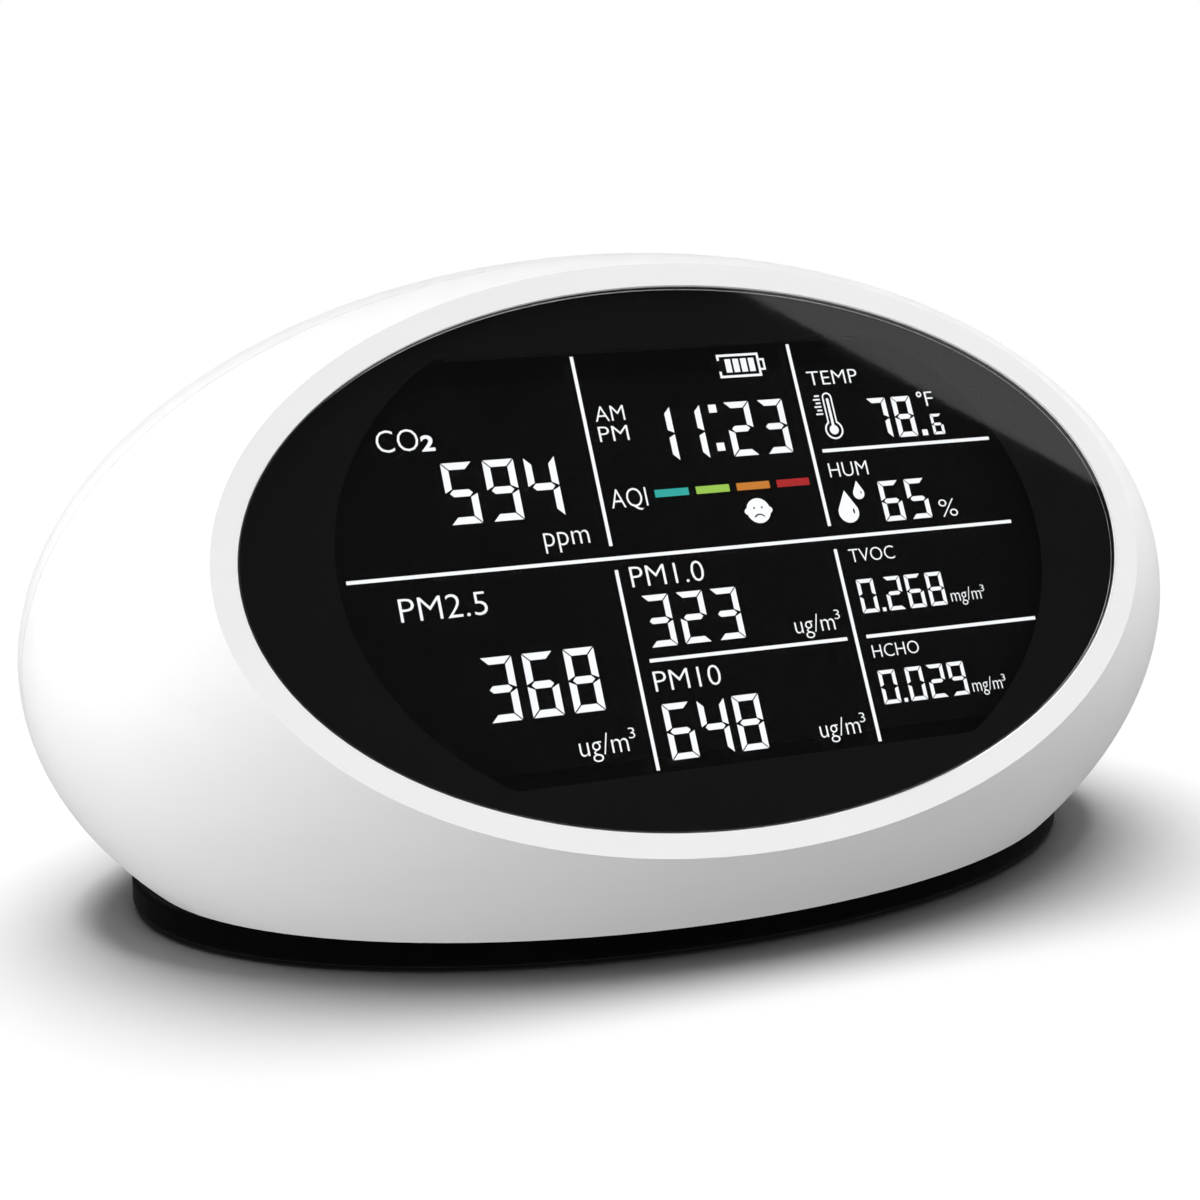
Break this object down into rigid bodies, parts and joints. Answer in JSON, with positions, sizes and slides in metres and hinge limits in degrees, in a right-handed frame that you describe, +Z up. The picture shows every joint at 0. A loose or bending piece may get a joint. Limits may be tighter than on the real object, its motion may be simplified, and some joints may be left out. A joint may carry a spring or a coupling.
{
  "type": "air quality monitor",
  "caption": "Ellipsoidal desktop air quality monitor with a tilted oval segment display, a black foot, rear air slots, press buttons and a power socket.",
  "frame": {"origin": "on the resting surface, under the centre of the ellipsoidal housing", "axes": "+Z up, the display faces -Y and leans back 30 degrees, +X to the right of someone reading the display"},
  "size_m": [0.18, 0.1066, 0.0925],
  "materials": {
    "shell_white": "satin white moulded ABS",
    "base_black": "fine-textured black ABS",
    "pad_rubber": "soft black rubber",
    "lens_smoke": "polished smoked acrylic",
    "tape_black": "black foam tape",
    "lcd_glass": "reverse-mode segment LCD",
    "light_guide": "edge-lit acrylic light guide",
    "inner_plastic": "unpainted dark ABS",
    "zebra_rubber": "striped conductive elastomer",
    "screw_steel": "zinc-plated steel",
    "board_green": "solder-masked glass fibre",
    "chip_black": "moulded epoxy",
    "socket_ivory": "nylon connector housings",
    "chassis_grey": "grey ABS",
    "sensor_case": "blue-black moulded case",
    "rotor_black": "moulded fan rotor",
    "laser_brass": "turned brass barrel",
    "foam_black": "open-cell foam",
    "mesh_black": "blackened woven wire",
    "co2_gold": "gold-flashed metal can",
    "membrane_white": "porous PTFE",
    "cell_white": "moulded cell body",
    "can_nickel": "nickel-plated can",
    "button_white": "satin white moulded ABS",
    "switch_black": "switch bodies",
    "plunger_brown": "switch plungers",
    "socket_steel": "bright nickel-plated steel",
    "battery_wrap": "foil pouch",
    "lead_red": "silicone-insulated wire",
    "ribbon_grey": "flat flexible cable",
    "sensor_white": "sensor package"
  },
  "bodies": {
    "housing": {"front_shell": "shell_white", "rear_shell": "shell_white", "vent_mesh": "mesh_black", "shell_screws": "screw_steel", "base_plate": "base_black", "foot_pad": "pad_rubber", "base_screws": "screw_steel", "display_lens": "lens_smoke", "lens_tape": "tape_black", "lcd_panel": "lcd_glass", "lcd_backlight": "light_guide", "lcd_frame": "inner_plastic", "lcd_contact_strips": "zebra_rubber", "lcd_frame_screws": "screw_steel", "main_board": "board_green", "main_board_screws": "screw_steel", "board_chips": "chip_black", "buzzer": "chip_black", "board_sockets": "socket_ivory", "sensor_chassis": "chassis_grey", "chassis_screws": "screw_steel", "pm_sensor_case": "sensor_case", "pm_sensor_cover": "sensor_case", "pm_fan_axle": "screw_steel", "pm_laser": "laser_brass", "pm_duct": "foam_black", "gas_board": "board_green", "gas_board_screws": "screw_steel", "co2_sensor": "co2_gold", "co2_filter": "membrane_white", "formaldehyde_cell": "cell_white", "voc_sensor": "can_nickel", "gas_socket": "socket_ivory", "climate_board": "board_green", "climate_sensor": "sensor_white", "button_switches": "switch_black", "button_board": "board_green", "button_board_screws": "screw_steel", "button_socket": "socket_ivory", "charging_board": "board_green", "charging_board_screws": "screw_steel", "power_socket": "socket_steel", "power_socket_tongue": "chip_black", "battery_tape": "tape_black", "battery_cell": "battery_wrap", "battery_leads": "lead_red", "pm_ribbon": "ribbon_grey", "gas_ribbon": "ribbon_grey", "button_ribbon": "ribbon_grey", "charging_ribbon": "ribbon_grey"},
    "pm_fan": {"pm_fan_rotor": "rotor_black"},
    "power_key": {"power_button": "button_white", "power_plunger": "plunger_brown"},
    "set_key": {"set_button": "button_white", "set_plunger": "plunger_brown"},
    "up_key": {"up_button": "button_white", "up_plunger": "plunger_brown"},
    "down_key": {"down_button": "button_white", "down_plunger": "plunger_brown"}
  },
  "joints": [
    {"name": "pm_fan_spin", "type": "hinge", "parent": "housing", "child": "pm_fan", "pos_m": [-0.04, 0.0196, 0.03125], "axis": [0, 1, 0], "continuous": true},
    {"name": "power_press", "type": "slide", "parent": "housing", "child": "power_key", "axis": [0, -0.8192, -0.5736], "range_m": [0, 0.0006], "stiffness_N_per_m": 800},
    {"name": "set_press", "type": "slide", "parent": "housing", "child": "set_key", "axis": [0, -0.8192, -0.5736], "range_m": [0, 0.0006], "stiffness_N_per_m": 800},
    {"name": "up_press", "type": "slide", "parent": "housing", "child": "up_key", "axis": [0, -0.8192, -0.5736], "range_m": [0, 0.0006], "stiffness_N_per_m": 800},
    {"name": "down_press", "type": "slide", "parent": "housing", "child": "down_key", "axis": [0, -0.8192, -0.5736], "range_m": [0, 0.0006], "stiffness_N_per_m": 800}
  ]
}
